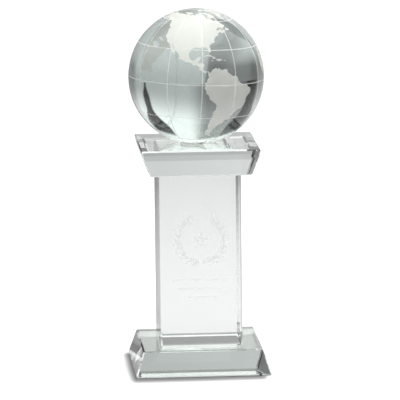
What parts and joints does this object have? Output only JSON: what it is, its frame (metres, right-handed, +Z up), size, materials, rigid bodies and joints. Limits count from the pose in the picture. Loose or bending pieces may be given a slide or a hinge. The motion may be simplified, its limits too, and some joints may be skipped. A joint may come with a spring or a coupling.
{
  "type": "column trophy",
  "caption": "Clear crystal column trophy: a solid globe with an etched map on a flared capital, a square column and a tapered base.",
  "frame": {"origin": "centre of the base's underside, where the award stands", "axes": "+Z up along the column to the globe; the engraved front of the column faces -Y; +X is to the right of the front"},
  "size_m": [0.08, 0.08, 0.212],
  "materials": {
    "optical_crystal": "polished clear optical crystal, faint green in its edges, fine bevels, shallow etched ornament on the column",
    "globe_crystal": "polished clear ball with sand-etched, frosted white land and thin etched meridians and parallels",
    "clear_adhesive": "thin cured clear acrylic adhesive, invisible once it wets both faces"
  },
  "bodies": {
    "root": {"base": "optical_crystal", "base_bond": "clear_adhesive", "column": "optical_crystal", "capital_bond": "clear_adhesive", "capital": "optical_crystal", "globe_bond": "clear_adhesive", "globe": "globe_crystal"}
  },
  "joints": []
}
